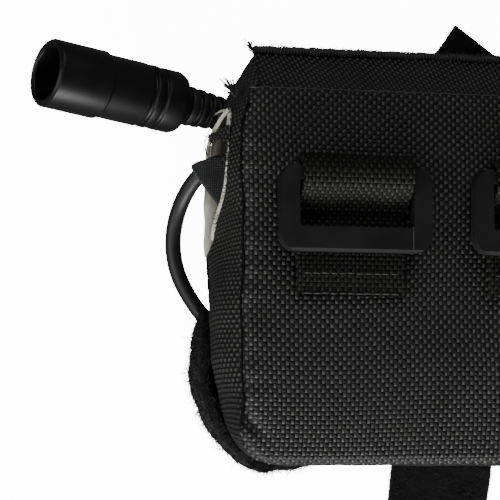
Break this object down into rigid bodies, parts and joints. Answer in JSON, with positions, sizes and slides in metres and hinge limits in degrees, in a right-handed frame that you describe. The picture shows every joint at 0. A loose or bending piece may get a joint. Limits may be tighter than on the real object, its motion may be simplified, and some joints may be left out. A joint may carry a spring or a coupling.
{
  "type": "battery pack in pouch",
  "caption": "Rechargeable battery pack in a black nylon pouch with webbing buckles, hook-and-loop straps, a top flap and a short lead that ends in a round barrel socket.",
  "frame": {"origin": "on the outer face of the upper back keeper, at the middle of the pouch's width and 34 mm above its lower end", "axes": "+Z out of the front panel, away from the back; +Y up the pouch towards its flap; +X to the right as seen from the front. The object lies on its back, on the two keepers, and the back panel is 3.6 mm above them."},
  "size_m": [0.1112, 0.122, 0.0377],
  "materials": {
    "fabric": "black coarse nylon weave, coated inside",
    "lining": "pale coated back of the fabric",
    "pile": "black hook-and-loop pile",
    "webbing": "black nylon webbing",
    "black": "black thread and insulation",
    "acetal": "black moulded acetal",
    "can": "plated cell can",
    "wrap": "shrunk cell wrap",
    "nickel": "nickel plated steel",
    "paper": "insulating paper",
    "board": "circuit board",
    "chip": "black package",
    "sleeve": "shrunk pack sleeve",
    "foam": "closed-cell foam",
    "red": "wire insulation",
    "rubber": "black soft moulding",
    "moulded": "black moulding with a slight sheen",
    "brass": "plated brass"
  },
  "bodies": {
    "pouch": {"front_panel": "fabric", "back_panel": "fabric", "bottom_panel": "fabric", "gusset_left": "fabric", "gusset_right": "fabric", "slit_lining": "lining", "back_liner": "lining", "slit_tab": "fabric", "ridge_binding": "fabric", "front_lip": "fabric", "loop_tape": "pile", "front_keeper_left": "webbing", "front_keeper_right": "webbing", "keeper_stitch_left": "black", "keeper_stitch_right": "black", "back_keeper_lower": "webbing", "back_keeper_upper": "webbing", "strap_left": "pile", "strap_left_anchor": "pile", "strap_right": "pile", "strap_right_end": "pile", "cell_lower": "can", "cell_middle": "can", "cell_upper": "can", "cell_wrap_lower": "wrap", "cell_wrap_middle": "wrap", "cell_wrap_upper": "wrap", "nickel_strip_left": "nickel", "nickel_strip_right": "nickel", "end_insulator_left": "paper", "end_insulator_right": "paper", "protection_board": "board", "board_mosfet": "chip", "board_controller": "chip", "board_cover": "paper", "shrink_sleeve": "sleeve", "foam_back": "foam", "foam_front": "foam", "wire_positive": "red", "wire_negative": "black", "lead_grommet": "rubber", "lead_cable": "rubber", "strain_relief": "rubber", "connector_body": "moulded", "connector_insert": "chip", "connector_pin": "brass", "connector_contact": "nickel", "seal_ring": "rubber"},
    "flap": {"top_flap": "fabric", "hook_tape": "pile"},
    "buckle_left": {"buckle_left": "acetal"},
    "buckle_right": {"buckle_right": "acetal"}
  },
  "joints": [
    {"name": "flap_hinge", "type": "hinge", "parent": "pouch", "child": "flap", "pos_m": [0, 0.0422, 0.016], "axis": [-1, 0, 0], "range_deg": [0, 170]},
    {"name": "buckle_left_hinge", "type": "hinge", "parent": "pouch", "child": "buckle_left", "pos_m": [-0.0183, 0.0179, 0.0343], "axis": [-1, 0, 0], "range_deg": [0, 150]},
    {"name": "buckle_right_hinge", "type": "hinge", "parent": "pouch", "child": "buckle_right", "pos_m": [0.0183, 0.0179, 0.0343], "axis": [-1, 0, 0], "range_deg": [0, 150]}
  ]
}
